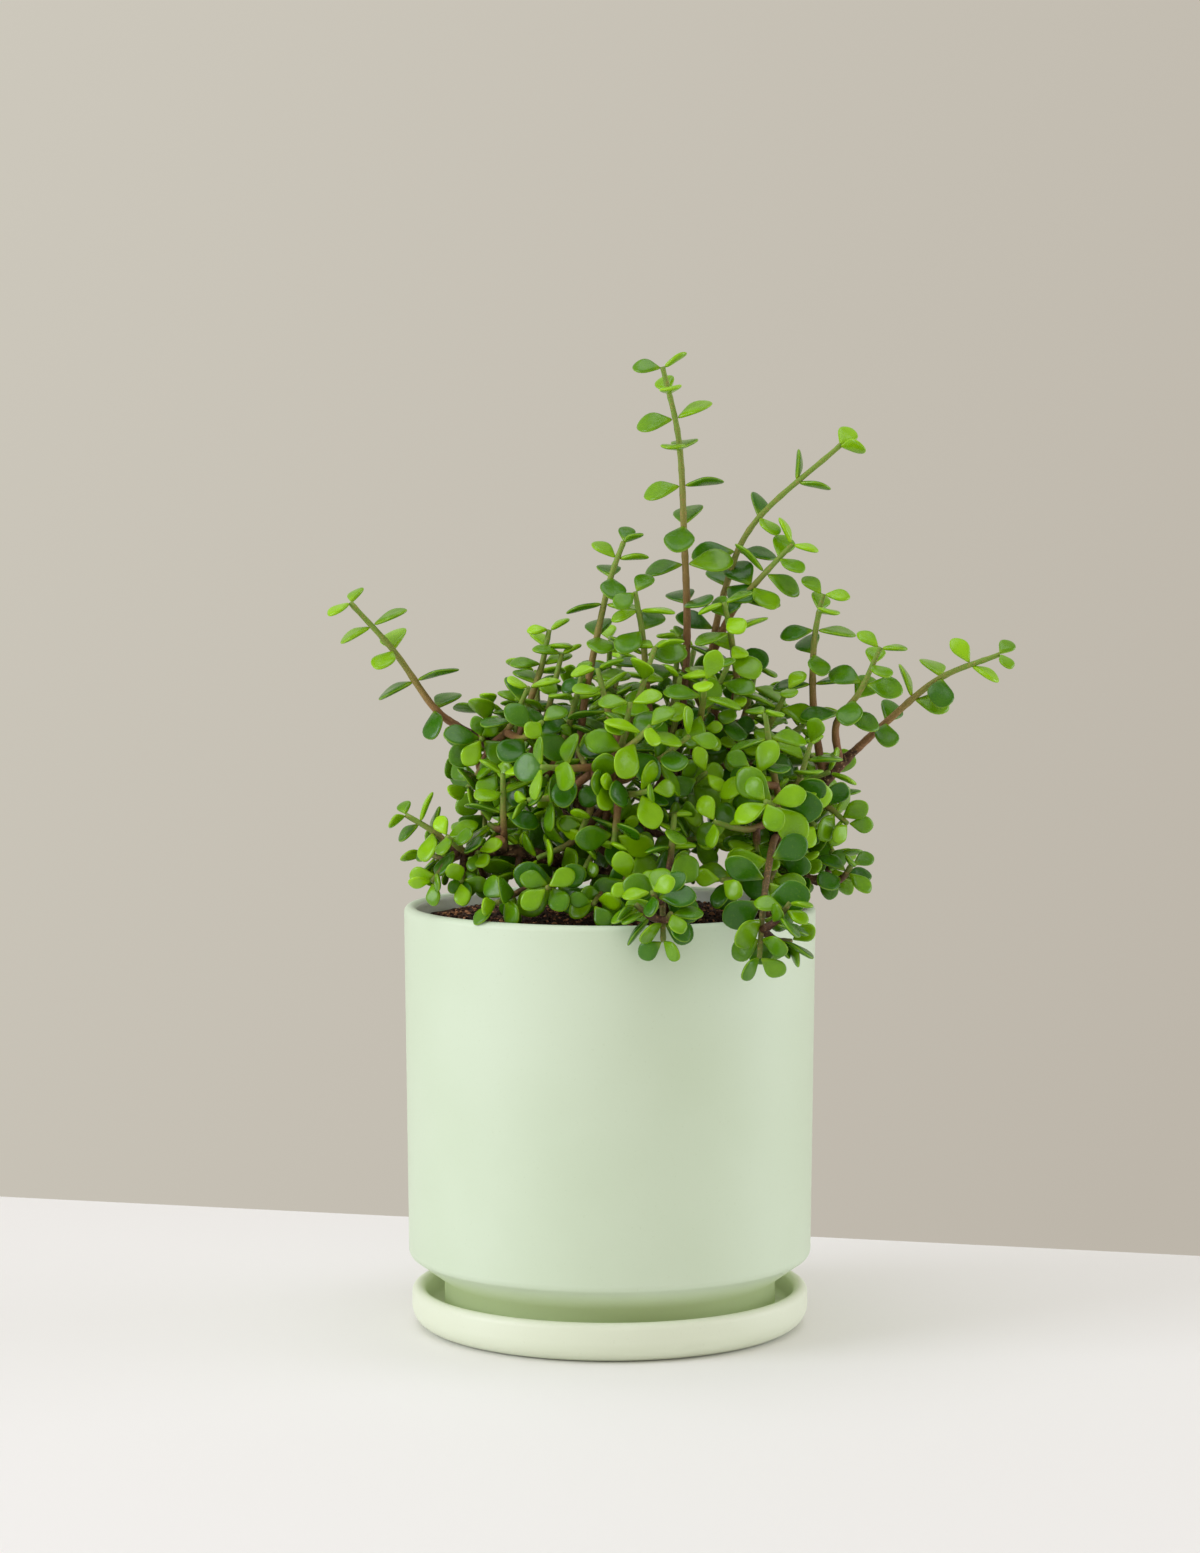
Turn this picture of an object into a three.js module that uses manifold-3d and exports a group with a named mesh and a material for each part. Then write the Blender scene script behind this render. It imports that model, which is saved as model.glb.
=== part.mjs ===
// A potted elephant bush (Portulacaria afra): a straight-sided glazed pot on a narrow foot, its saucer,
// the potting mix, the woody stems rooted in it and the leafy shoots that grow from them.
// Units are millimetres, +Z is up, +X is to the right and -Y is the front. The saucer stands on z = 0
// and the pot's axis is x = y = 0.
import * as THREE from "three";
import { mergeVertices } from "three/addons/utils/BufferGeometryUtils.js";
import Module from "manifold-3d";

const wasm = await Module();
wasm.setup();

// ---- Driving dimensions ------------------------------------------------------------------------
const GAP = 0.3; // clearance kept between touching pieces
const ROUND = 32; // facets round the pot, the saucer and the soil

const SAUCER = { radius: 72.5, base: 65, height: 14.5, lip: 2.6, floor: 4.7, taper: 0.4, cove: 3.4 };
const POT = { top: 75, bottom: 73.6, rim: 154, shoulder: 28, lip: 2.3, wall: 4.6, edge: 3.2 };
const FOOT = { radius: 60.6, top: 17, wall: 5, floor: 5, edge: 1.6 };
const COVE = { wall: 7, corner: 3, inset: 2, well: 5.5 }; // the bend inside the pot, from wall to foot
const DRAIN_RADIUS = 6;
const SOIL = { edge: 148, crown: 150.5, bank: 54, bankRise: 1.6 };

// A leaf's width, narrowest base and sideways cup are shares of its length, as is the place where it
// reaches its full width. The droop is how far its tip hangs back.
const LEAF = { width: 0.8, thickness: 2.2, droop: 0.15, cup: 0.16, narrow: 0.24, full: 0.64 };
const LEAF_OUTLINE = 7; // points round a leaf's edge
const LIFT = { mean: 10, spread: 50, tip: 50 }; // degrees that a leaf stands up from square to its stem
const ROLL = 60; // degrees of spread in how a leaf is rolled about its own length
const TIP_SHARE = 0.62; // size of the youngest leaves beside the full-grown ones
const AGEING = 1.7; // how soon along a twig, from its tip, the leaves are full-grown
const CROWDING = 0.85; // below 1, the pairs stand closer together towards the tip
const TIP_PLACE = 0.995; // where on the twig the youngest pair stands
const TURN_SPREAD = 24; // degrees of spread in how one pair is turned from the last
const SIZE_SPREAD = 0.2;
const SIDE_BARE = 0.25; // leafless share of a side twig
const FEWEST_PAIRS = 3;
// Leaves turn to the light: the way to it, how far their faces turn and how far they lie square to it.
const WINDOW = { way: [-0.15, -0.66, 0.74], face: 0.8, level: 0.65 }; // for shoots that stand clear
const SKY = { way: [-0.1, -0.4, 0.91], face: 0.6, level: 0.4 }; // for shoots within the crown
const TWIG = { base: 1.5, tip: 0.9 };
const CLEARANCE = 0.35; // the least gap between a leaf and another shoot
const CRUMB = 1; // mm3: a cut-off scrap of stem smaller than this is dropped
const MERGE = 0.06; // slivers narrower than this are merged away after a join
const WELD = 1e-4; // corners closer than this are one

const COLOURS = { glaze: 0xd3e0c0, soil: 0x2e1c14, bark: 0x6b4a33, leaf: 0x5c9c0c };

// ---- The woody stems ---------------------------------------------------------------------------
// Each rooted cutting is a main stem, whose first point lies in the soil, and its side branches.
// A branch is the points along its middle, then its radius at the start and at the end.
const CUTTINGS = {
  trunk_left: [
    {
      path: [[-4, -8, 130], [-4, -9, 152], [3, -11, 168], [12, -9, 183], [20, -4, 200], [26, 0, 222]],
      from: 4.4, to: 2.2,
    },
    { path: [[1, -11, 164], [-16, -20, 171], [-36, -27, 176], [-52, -29, 175]], from: 2.9, to: 1.8 },
    { path: [[7, -10, 175], [-12, -8, 192], [-35, -4, 207], [-55, -3, 219]], from: 2.7, to: 1.8 },
    { path: [[9, -10, 179], [2, -28, 192], [-6, -42, 205]], from: 2.3, to: 1.6 },
  ],
  trunk_middle: [
    { path: [[14, 22, 130], [14, 22, 152], [10, 24, 172], [3, 27, 192], [-2, 30, 214]], from: 4.2, to: 2 },
    { path: [[12, 23, 165], [-8, 34, 180], [-28, 42, 196]], from: 2.6, to: 1.7 },
    { path: [[9, 24, 175], [22, 40, 190], [32, 50, 206]], from: 2.5, to: 1.7 },
  ],
  trunk_right: [
    {
      path: [[53, -8, 130], [54, -8, 150], [58, -6, 168], [66, -2, 184], [78, 3, 199], [90, 6, 210]],
      from: 4.6, to: 2.2,
    },
    { path: [[59, -6, 170], [61, -24, 182], [62, -40, 194]], from: 2.5, to: 1.7 },
    { path: [[66, -2, 184], [52, 8, 200], [40, 12, 218]], from: 2.5, to: 1.7 },
    { path: [[67, -1, 186], [74, 20, 196], [76, 36, 205]], from: 2.4, to: 1.7 },
    { path: [[57, -7, 164], [70, -10, 164], [82, -12, 163]], from: 2, to: 1.4 },
  ],
  pruned_stub: [
    { path: [[20, -36, 130], [21, -37, 150], [27, -41, 161]], from: 4.4, to: 4.2 },
  ],
};
const WOOD_SIDES = 6;
const WOOD_RINGS = 3; // for each span between two points of a path

// ---- The leafy shoots --------------------------------------------------------------------------
// twigs: the points along the main twig, from the wood to its tip, then those of its side twigs.
// pairs: how many pairs of leaves the main twig carries; a side twig has one pair fewer. size: full
// leaf length. turn: degrees that the first pair is turned about the twig. bare: its leafless share.
const SHOOTS = [
  { name: "leader", pairs: 9, size: 17, turn: 0, bare: 0.08,
    twigs: [[[26, 0, 220], [28, 0, 252], [27, 1, 286], [25, 1, 322], [19, 0, 349]]] },
  { name: "upper_right", pairs: 6, size: 16, turn: 20, bare: 0.2,
    twigs: [
      [[40, 12, 216], [37, 10, 240], [42, 9, 268], [53, 8, 293], [84, 6, 321]],
      [[38, 10, 246], [45, 4, 261], [54, 0, 272], [66, -3, 285]],
    ] },
  { name: "right_upright", pairs: 5, size: 14.5, turn: 0, bare: 0.25,
    twigs: [[[78, 4, 199], [74, 0, 226], [74, -4, 250], [77, -6, 267]]] },
  { name: "right_leaning", pairs: 5, size: 14.5, turn: 0, bare: 0.25,
    twigs: [[[84, 5, 205], [82, -6, 220], [90, -12, 232], [97, -16, 248]]] },
  { name: "far_right", pairs: 5, size: 15, turn: 100, bare: 0.1,
    twigs: [[[89, 6, 209], [101, 6, 220], [120, 4, 236], [142, 2, 245]]] },
  { name: "far_left", pairs: 5, size: 16.5, turn: 70, bare: 0.08,
    twigs: [[[-54, -3, 218], [-64, -3, 226], [-78, -4, 246], [-94, -5, 264]]] },
  { name: "upper_left", pairs: 6, size: 15.5, turn: 0, bare: 0.2,
    twigs: [[[-12, -8, 191], [-10, -6, 222], [-5, -6, 250], [0, -6, 272], [5, -6, 286]]] },
  { name: "upper_left_low", pairs: 5, size: 13, turn: 30, bare: 0.15,
    twigs: [[[-35, -4, 207], [-30, -2, 225], [-25, 0, 240], [-22, 0, 254]]] },
  { name: "inner_left", pairs: 5, size: 15.5, turn: 60, bare: 0.25,
    twigs: [[[19, -5, 198], [14, -10, 226], [12, -12, 250], [9, -16, 268]]] },
  { name: "inner_right", pairs: 5, size: 15.5, turn: 20, bare: 0.25,
    twigs: [[[41, 11, 216], [46, 2, 232], [44, -8, 250], [41, -14, 264]]] },
  { name: "low_left", pairs: 5, size: 13.5, turn: 60, bare: 0.05,
    twigs: [
      [[-50, -29, 175], [-56, -30, 177], [-63, -30, 183], [-73, -30, 189]],
      [[-54, -30, 176], [-58, -35, 172], [-63, -40, 166]],
    ] },
  { name: "low_right", pairs: 3, size: 12.5, turn: 60, bare: 0.1,
    twigs: [[[80, -12, 163], [84, -15, 165], [87, -18, 170]]] },
  { name: "right_droop", pairs: 4, size: 13, turn: 40, bare: 0.3,
    twigs: [[[72, 1, 193], [79, -6, 190], [86, -10, 184]]] },
  { name: "front_right_hanging", pairs: 6, size: 16.5, turn: 45, bare: 0.3,
    twigs: [[[60, -24, 181], [57, -50, 180], [53, -74, 164], [51, -83, 144]]] },
  { name: "front_middle_hanging", pairs: 5, size: 15, turn: 45, bare: 0.25,
    twigs: [[[21, -37, 152], [20, -58, 166], [18, -78, 164], [18, -86, 150]]] },
  { name: "front_bright", pairs: 4, size: 17, turn: 20, bare: 0.2,
    twigs: [[[61, -38, 193], [58, -50, 194], [54, -62, 196]]] },
  { name: "front_right_low", pairs: 4, size: 15, turn: 70, bare: 0.3,
    twigs: [[[55, -8, 160], [47, -32, 166], [39, -56, 168]]] },
  { name: "front_left_low", pairs: 5, size: 15, turn: 45, bare: 0.3,
    twigs: [
      [[-14, -19, 170], [-18, -42, 166], [-22, -62, 166]],
      [[-17, -36, 167], [-30, -48, 164], [-40, -56, 160]],
    ] },
  { name: "front_middle_low", pairs: 5, size: 14, turn: 30, bare: 0.3,
    twigs: [
      [[3, -11, 168], [4, -38, 168], [8, -64, 168]],
      [[4, -34, 168], [-2, -48, 164], [-6, -60, 160]],
    ] },
  { name: "front_centre", pairs: 4, size: 16, turn: 10, bare: 0.2,
    twigs: [
      [[-6, -42, 204], [6, -52, 214], [14, -58, 222]],
      [[-3, -45, 207], [-14, -52, 207], [-24, -60, 208]],
    ] },
];

// The crown between them: forked shoots whose twigs end evenly over a dome.
const CROWN = {
  centre: [14, 0, 200], reach: [66, 58, 52], lowest: -0.6, tips: 58, starts: 14,
  size: 15, pairs: 3, bare: 0.35, sag: 0.12, fork: 0.4, turn: 50,
};
const CROWN_WOOD = [0.5, 0.6, 0.7, 0.8, 0.9, 1]; // shares along a branch at which a crown shoot may start
const GOLDEN = Math.PI * (3 - Math.sqrt(5));

// What a leaf tries in turn until it clears its neighbours: more lift, turn round the stem, size.
const TRIES = [
  [0, 0, 1], [14, 0, 1], [-14, 0, 1], [0, 24, 1], [0, -24, 1],
  [24, 0, 0.8], [-10, 36, 0.8], [-10, -36, 0.8], [34, 18, 0.66], [34, -18, 0.66],
];

// ---- Small tools -------------------------------------------------------------------------------
const radians = THREE.MathUtils.degToRad;
const vector = (p) => new THREE.Vector3(p[0], p[1], p[2]);
const curve = (path) => new THREE.CatmullRomCurve3(path.map(vector), false, "catmullrom", 0.5);

let seed = 20260;
function chance() {
  seed = (seed * 16807) % 2147483647;
  return seed / 2147483647;
}

function solid(geometry) {
  const bare = geometry.clone();
  bare.deleteAttribute("normal");
  bare.deleteAttribute("uv");
  const merged = mergeVertices(bare, WELD);
  return new wasm.Manifold(
    new wasm.Mesh({
      numProp: 3,
      vertProperties: new Float32Array(merged.attributes.position.array),
      triVerts: new Uint32Array(merged.index.array),
    }),
  );
}

// The largest body of a solid, when a cut has left crumbs beside it.
function mainBody(whole) {
  return whole.decompose().reduce((a, b) => (b.volume() > a.volume() ? b : a));
}

const joined = (solids) => mainBody(wasm.Manifold.union(solids).simplify(MERGE));

function nodeOf(name, whole, material) {
  const mesh = whole.getMesh();
  const geometry = new THREE.BufferGeometry();
  geometry.setAttribute("position", new THREE.BufferAttribute(new Float32Array(mesh.vertProperties), 3));
  geometry.setIndex(new THREE.BufferAttribute(new Uint32Array(mesh.triVerts), 1));
  geometry.computeVertexNormals();
  const node = new THREE.Mesh(geometry, material);
  node.name = name;
  return node;
}

const paint = (color, roughness) => new THREE.MeshStandardMaterial({ color, roughness, metalness: 0 });
const MATERIALS = {
  glaze: paint(COLOURS.glaze, 0.55),
  soil: paint(COLOURS.soil, 0.95),
  bark: paint(COLOURS.bark, 0.85),
  leaf: paint(COLOURS.leaf, 0.4),
};

// ---- Turned ware: saucer, pot and soil ---------------------------------------------------------
// Points of a quarter or half round from one angle to another, in degrees.
function arc(r, z, radius, from, to, steps) {
  return Array.from({ length: steps + 1 }, (_, i) => {
    const a = radians(from + ((to - from) * i) / steps);
    return [r + radius * Math.cos(a), z + radius * Math.sin(a)];
  });
}

function turned(profile) {
  const points = profile.map(([r, z]) => new THREE.Vector2(r, z));
  return solid(new THREE.LatheGeometry(points, ROUND).rotateX(Math.PI / 2));
}

function saucer() {
  const { radius, base, height, lip, floor, taper, cove } = SAUCER;
  return turned([
    [0, 0],
    [base, 0],
    ...arc(base, radius - base, radius - base, -60, 0, 3),
    ...arc(radius - lip, height - lip, lip, 0, 180, 5),
    [radius - 2 * lip - taper, floor + cove],
    [radius - 2 * lip - cove, floor],
    [0, floor],
  ]);
}

function pot() {
  const { top, bottom, rim, shoulder, lip, wall, edge } = POT;
  const inside = bottom - wall;
  const well = FOOT.radius - FOOT.wall;
  return turned([
    [DRAIN_RADIUS, FOOT.floor],
    [FOOT.radius - FOOT.edge, FOOT.floor],
    [FOOT.radius, FOOT.floor + FOOT.edge],
    [FOOT.radius, FOOT.top],
    ...arc(bottom - edge, shoulder, edge, -62, 0, 2),
    ...arc(top - lip, rim - lip, lip, 0, 180, 5),
    [inside, shoulder + COVE.wall],
    [inside - COVE.inset, shoulder + COVE.corner],
    [well, FOOT.top + COVE.well],
    [well, FOOT.floor + FOOT.wall],
    [DRAIN_RADIUS, FOOT.floor + FOOT.wall],
    [DRAIN_RADIUS, FOOT.floor],
  ]);
}

function soil() {
  const inside = POT.bottom - POT.wall - GAP;
  const well = FOOT.radius - FOOT.wall - GAP;
  return turned([
    [0, FOOT.floor + FOOT.wall + GAP],
    [well, FOOT.floor + FOOT.wall + GAP],
    [well, FOOT.top + COVE.well + GAP],
    [inside - COVE.inset, POT.shoulder + COVE.corner + GAP],
    [inside, POT.shoulder + COVE.wall + GAP],
    [POT.top - 2 * POT.lip - GAP, SOIL.edge],
    [SOIL.bank, SOIL.edge + SOIL.bankRise],
    [0, SOIL.crown],
  ]);
}

// ---- Stems -------------------------------------------------------------------------------------
// A closed tapering tube: a capped cylinder whose rings are set square to the curve.
function stem(path, from, to, sides, steps) {
  const line = curve(path);
  const frames = Array.from({ length: steps + 1 }, (_, i) => line.getTangent(i / steps));
  const side = new THREE.Vector3(1, 0, 0);
  if (Math.abs(frames[0].x) > 0.9) side.set(0, 1, 0);
  const sidesOf = frames.map((along) => {
    side.addScaledVector(along, -side.dot(along)).normalize();
    return [side.clone(), new THREE.Vector3().crossVectors(along, side)];
  });
  const tube = new THREE.CylinderGeometry(1, 1, 1, sides, steps);
  const at = tube.attributes.position;
  const p = new THREE.Vector3();
  for (let i = 0; i < at.count; i++) {
    const ring = Math.round((at.getY(i) + 0.5) * steps);
    const radius = from + ((to - from) * ring) / steps;
    const [u, v] = sidesOf[ring];
    p.copy(line.getPoint(ring / steps))
      .addScaledVector(v, at.getX(i) * radius)
      .addScaledVector(u, at.getZ(i) * radius);
    at.setXYZ(i, p.x, p.y, p.z);
  }
  return solid(tube);
}

function wood(branches, extra) {
  const stems = branches.map(({ path, from, to }) => {
    const rings = WOOD_RINGS * (path.length - 1);
    return stem(path, from + extra, to + extra, WOOD_SIDES, rings);
  });
  return wasm.Manifold.union(stems);
}

// ---- Leaves ------------------------------------------------------------------------------------
// The axes of a leaf on a stem: along it, across it and out of its upper face.
function leafAxes(axis, turn, lift, roll, light) {
  const reference = Math.abs(axis.y) > 0.8 ? new THREE.Vector3(0, 0, 1) : new THREE.Vector3(0, 1, 0);
  const first = new THREE.Vector3().crossVectors(axis, reference).normalize();
  const second = new THREE.Vector3().crossVectors(axis, first);
  const outward = first.multiplyScalar(Math.cos(turn)).addScaledVector(second, Math.sin(turn));
  const along = outward.clone().multiplyScalar(Math.cos(lift)).addScaledVector(axis, Math.sin(lift));
  const face = axis.clone().multiplyScalar(Math.cos(lift)).addScaledVector(outward, -Math.sin(lift));
  const way = vector(light.way);
  along.addScaledVector(way, -light.level * along.dot(way)).normalize();
  face.addScaledVector(way, light.face);
  face.addScaledVector(along, -face.dot(along)).normalize();
  face.applyAxisAngle(along, roll);
  return { outward, along, face, across: new THREE.Vector3().crossVectors(face, along) };
}

// A thick obovate blade: a flattened ball, drawn out to a narrow base, cupped and bent back.
function leaf(base, axes, length) {
  const blade = new THREE.SphereGeometry(1, LEAF_OUTLINE, 2);
  const at = blade.attributes.position;
  const half = (length * LEAF.width) / 2;
  const p = new THREE.Vector3();
  for (let i = 0; i < at.count; i++) {
    const share = (at.getX(i) + 1) / 2;
    const widening = THREE.MathUtils.smoothstep(share, 0, LEAF.full);
    const across = at.getZ(i) * (LEAF.narrow + (1 - LEAF.narrow) * widening);
    const up = (at.getY(i) * LEAF.thickness) / 2
      - LEAF.droop * length * share * share
      + LEAF.cup * half * across * across;
    p.copy(base)
      .addScaledVector(axes.along, share * length)
      .addScaledVector(axes.across, -across * half)
      .addScaledVector(axes.face, up);
    at.setXYZ(i, p.x, p.y, p.z);
  }
  return solid(blade);
}

// ---- Growing the shoots ------------------------------------------------------------------------
const plant = new THREE.Group();
const placed = []; // every solid that a leaf has to clear: { owner, body, box }
const shoots = [];
const grownWood = wasm.Manifold.union(Object.values(CUTTINGS).map((b) => wood(b, GAP)));

function place(owner, body) {
  placed.push({ owner, body, box: body.boundingBox() });
}

function near(a, b) {
  return [0, 1, 2].every((k) => a.min[k] - 1 < b.max[k] && b.min[k] - 1 < a.max[k]);
}

function clears(body, owner) {
  const box = body.boundingBox();
  return placed.every((other) => other.owner === owner || !near(box, other.box)
    || body.minGap(other.body, 1) >= CLEARANCE);
}

// A long twig is rounder and has more rings than a short one.
function twig(path) {
  const spans = path.length - 1;
  const [sides, steps] = spans > 2 ? [5, 2 * spans] : [4, spans];
  return stem(path, TWIG.base, TWIG.tip, sides, steps).subtract(grownWood);
}

// Adds a shoot whose stem comes out of the wood in one piece and clear of the others.
function sprout(shoot) {
  const whole = wasm.Manifold.union(shoot.twigs.map(twig));
  const pieces = whole.decompose().filter((b) => b.volume() > CRUMB);
  if (pieces.length !== 1 || !clears(pieces[0], shoot.name)) return false;
  place(shoot.name, pieces[0]);
  shoots.push({ ...shoot, stems: pieces[0] });
  return true;
}

// The places where the crown's twigs end: a spiral over the dome.
function crownTips() {
  return Array.from({ length: CROWN.tips }, (_, i) => {
    const height = 1 - ((1 - CROWN.lowest) * (i + 0.5)) / CROWN.tips;
    const across = Math.sqrt(1 - height * height);
    return new THREE.Vector3(
      CROWN.centre[0] + CROWN.reach[0] * across * Math.cos(i * GOLDEN),
      CROWN.centre[1] + CROWN.reach[1] * across * Math.sin(i * GOLDEN),
      CROWN.centre[2] + CROWN.reach[2] * height,
    );
  });
}

const byDistance = (to) => (a, b) => a.distanceTo(to) - b.distanceTo(to);

function sagging(from, to) {
  const middle = from.clone().lerp(to, 0.5);
  middle.z -= CROWN.sag * from.distanceTo(to);
  return [from, middle, to].map((v) => v.toArray());
}

// Each crown shoot starts at the nearest wood from which it grows clear, and forks to a second tip.
function crownShoots() {
  const starts = Object.entries(CUTTINGS)
    .filter(([name]) => name !== "pruned_stub")
    .flatMap(([, branches]) => branches.flatMap((b) => {
      const line = curve(b.path);
      return CROWN_WOOD.map((t) => line.getPoint(t));
    }));
  const free = crownTips();
  for (let number = 1; free.length > 1; number++) {
    const tip = free.shift();
    free.sort(byDistance(tip));
    const second = free.shift();
    free.sort((a, b) => b.z - a.z);
    starts.sort(byDistance(tip));
    for (const start of starts.slice(0, CROWN.starts)) {
      const main = sagging(start, tip);
      const side = sagging(curve(main).getPoint(CROWN.fork), second);
      const name = "crown_" + String(number).padStart(2, "0");
      const { size, pairs, bare } = CROWN;
      const turn = CROWN.turn * number;
      if (sprout({ name, pairs, size, bare, turn, light: SKY, twigs: [main, side] })) break;
    }
  }
}

// The first leaf, of those tried at one side of the twig, that clears its neighbours.
function roomyLeaf(shoot, base, way, turn, lift, roll, length) {
  for (const [more, aside, scale] of TRIES) {
    const axes = leafAxes(way, turn + radians(aside), lift + radians(more), roll, shoot.light);
    const root = base.clone().addScaledVector(axes.outward, TWIG.tip / 2);
    const blade = leaf(root, axes, length * scale);
    if (clears(blade, shoot.name)) return [blade];
  }
  return [];
}

// The leaves of one twig, in opposite pairs, each pair square to the last.
function leavesOf(shoot, number) {
  const line = curve(shoot.twigs[number]);
  const pairs = Math.max(FEWEST_PAIRS, shoot.pairs - Math.min(number, 1));
  const bare = number === 0 ? shoot.bare : SIDE_BARE;
  const spread = () => chance() - 0.5;
  const blades = [];
  for (let pair = 0; pair < pairs; pair++) {
    const share = (pair + 0.5) / pairs;
    const t = bare + (1 - bare) * Math.pow((pair + 1) / pairs, CROWDING) * TIP_PLACE;
    const age = TIP_SHARE + (1 - TIP_SHARE) * Math.min(1, AGEING * (1 - share));
    const turn = radians(shoot.turn + 90 * pair + TURN_SPREAD * spread());
    for (const half of [0, Math.PI]) {
      const length = shoot.size * age * (1 + SIZE_SPREAD * spread());
      const lift = radians(LIFT.mean + LIFT.spread * spread() + LIFT.tip * Math.max(0, share - 0.5));
      const roll = radians(ROLL * spread());
      const [base, way] = [line.getPoint(t), line.getTangent(t)];
      blades.push(...roomyLeaf(shoot, base, way, turn + half, lift, roll, length));
    }
  }
  blades.forEach((blade) => place(shoot.name + number, blade));
  return blades;
}

// ---- Assembly ----------------------------------------------------------------------------------
const vessel = pot();
const mix = mainBody(soil().subtract(grownWood));
plant.add(nodeOf("saucer", saucer(), MATERIALS.glaze));
plant.add(nodeOf("pot", vessel, MATERIALS.glaze));
plant.add(nodeOf("soil", mix, MATERIALS.soil));

// All the stems first, so that every leaf can keep clear of all of them.
for (const shoot of SHOOTS) {
  if (!sprout({ light: WINDOW, ...shoot })) console.warn(shoot.name + " does not grow clear");
}
crownShoots();
place("pot", vessel);
place("soil", mix);
for (const [name, branches] of Object.entries(CUTTINGS)) {
  const body = wood(branches, 0);
  plant.add(nodeOf(name, body, MATERIALS.bark));
  place(name, body);
}

for (const shoot of shoots) {
  const blades = shoot.twigs.flatMap((_, number) => leavesOf(shoot, number));
  plant.add(nodeOf("shoot_" + shoot.name, joined([shoot.stems, ...blades]), MATERIALS.leaf));
}

export default plant;
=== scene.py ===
"""A potted elephant bush: a glazed pot on its saucer, potting mix, woody stems and leafy shoots.

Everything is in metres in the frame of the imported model: +Z is up, -Y is the front, and the saucer
stands on z = 0 with the pot's axis at x = y = 0. Sizes are written in millimetres times MM.
"""
import math

import bmesh
import bpy
import numpy as np
from mathutils import Matrix, Vector, kdtree, noise


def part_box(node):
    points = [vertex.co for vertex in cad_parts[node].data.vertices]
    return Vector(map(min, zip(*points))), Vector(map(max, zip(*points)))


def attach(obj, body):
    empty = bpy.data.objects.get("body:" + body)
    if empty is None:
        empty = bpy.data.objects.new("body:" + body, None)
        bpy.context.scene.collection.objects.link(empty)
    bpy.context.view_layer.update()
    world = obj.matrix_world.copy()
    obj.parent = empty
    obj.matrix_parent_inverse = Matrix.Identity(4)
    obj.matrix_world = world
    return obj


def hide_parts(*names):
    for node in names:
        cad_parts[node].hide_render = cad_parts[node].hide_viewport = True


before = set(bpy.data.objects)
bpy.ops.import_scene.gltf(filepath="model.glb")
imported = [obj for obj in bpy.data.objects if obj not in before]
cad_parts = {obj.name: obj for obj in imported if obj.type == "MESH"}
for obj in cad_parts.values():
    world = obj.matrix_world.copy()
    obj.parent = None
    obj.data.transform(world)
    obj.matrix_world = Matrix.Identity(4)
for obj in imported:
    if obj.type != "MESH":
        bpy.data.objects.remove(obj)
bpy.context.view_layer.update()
MM = 0.001

# ---- Camera ----------------------------------------------------------------------------------------
# A portrait camera a little above the leaves' middle, more than a metre in front of the pot and
# tipped slightly down, as a product of this size is usually shown.

CAMERA_PLACE = Vector((-3.6, -1332, 292.5)) * MM
CAMERA_TIP = math.radians(3.95)

lens = bpy.data.cameras.new("camera")
lens.lens = 85
lens.sensor_width = 36
lens.clip_end = 50
camera = bpy.data.objects.new("camera", lens)
camera.location = CAMERA_PLACE
camera.rotation_euler = (math.pi / 2 - CAMERA_TIP, 0, 0)
bpy.context.scene.collection.objects.link(camera)
bpy.context.scene.camera = camera
bpy.context.scene.view_settings.view_transform = "Standard"


# ---- Studio light ----------------------------------------------------------------------------------
# A large soft box to the left of the camera gives the shape and a weaker one to the right lifts the
# shaded side. A faint one in front and a wide one overhead open up the leaves. The room around is a
# plain warm grey.

def tint(red, green, blue):
    """A screen colour, each part from 0 to 255, as the linear colour that lights and finishes take."""
    def linear(part):
        part /= 255
        return part / 12.92 if part <= 0.04045 else ((part + 0.055) / 1.055) ** 2.4

    return (linear(red), linear(green), linear(blue), 1)


def soft_box(name, place, target, size, power, colour=(1, 1, 1)):
    light = bpy.data.lights.new(name, "AREA")
    light.shape = "SQUARE"
    light.size = size
    light.energy = power
    light.color = colour
    box = bpy.data.objects.new(name, light)
    box.location = place
    box.rotation_euler = (Vector(target) - Vector(place)).to_track_quat("-Z", "Y").to_euler()
    bpy.context.scene.collection.objects.link(box)


PLANT_MIDDLE = (0, 0, 0.19)
DAYLIGHT = (0.95, 0.98, 1.12)
soft_box("key_light", (-1.75, -0.7, 0.85), PLANT_MIDDLE, 1.1, 18, DAYLIGHT)
soft_box("fill_light", (1.5, 0.1, 0.4), PLANT_MIDDLE, 1.0, 8.5, DAYLIGHT)
soft_box("front_light", (0.5, -1.6, 0.25), PLANT_MIDDLE, 1.0, 1.6, DAYLIGHT)
soft_box("top_light", (-0.1, -0.1, 2.1), PLANT_MIDDLE, 1.6, 12, DAYLIGHT)

ROOM_LEFT = tint(205, 200, 188)
ROOM_RIGHT = tint(189, 182, 170)
ROOM_FALL = (1, 0, -0.6) # it darkens to the right and downwards
ROOM_SPAN = 0.25

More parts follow.
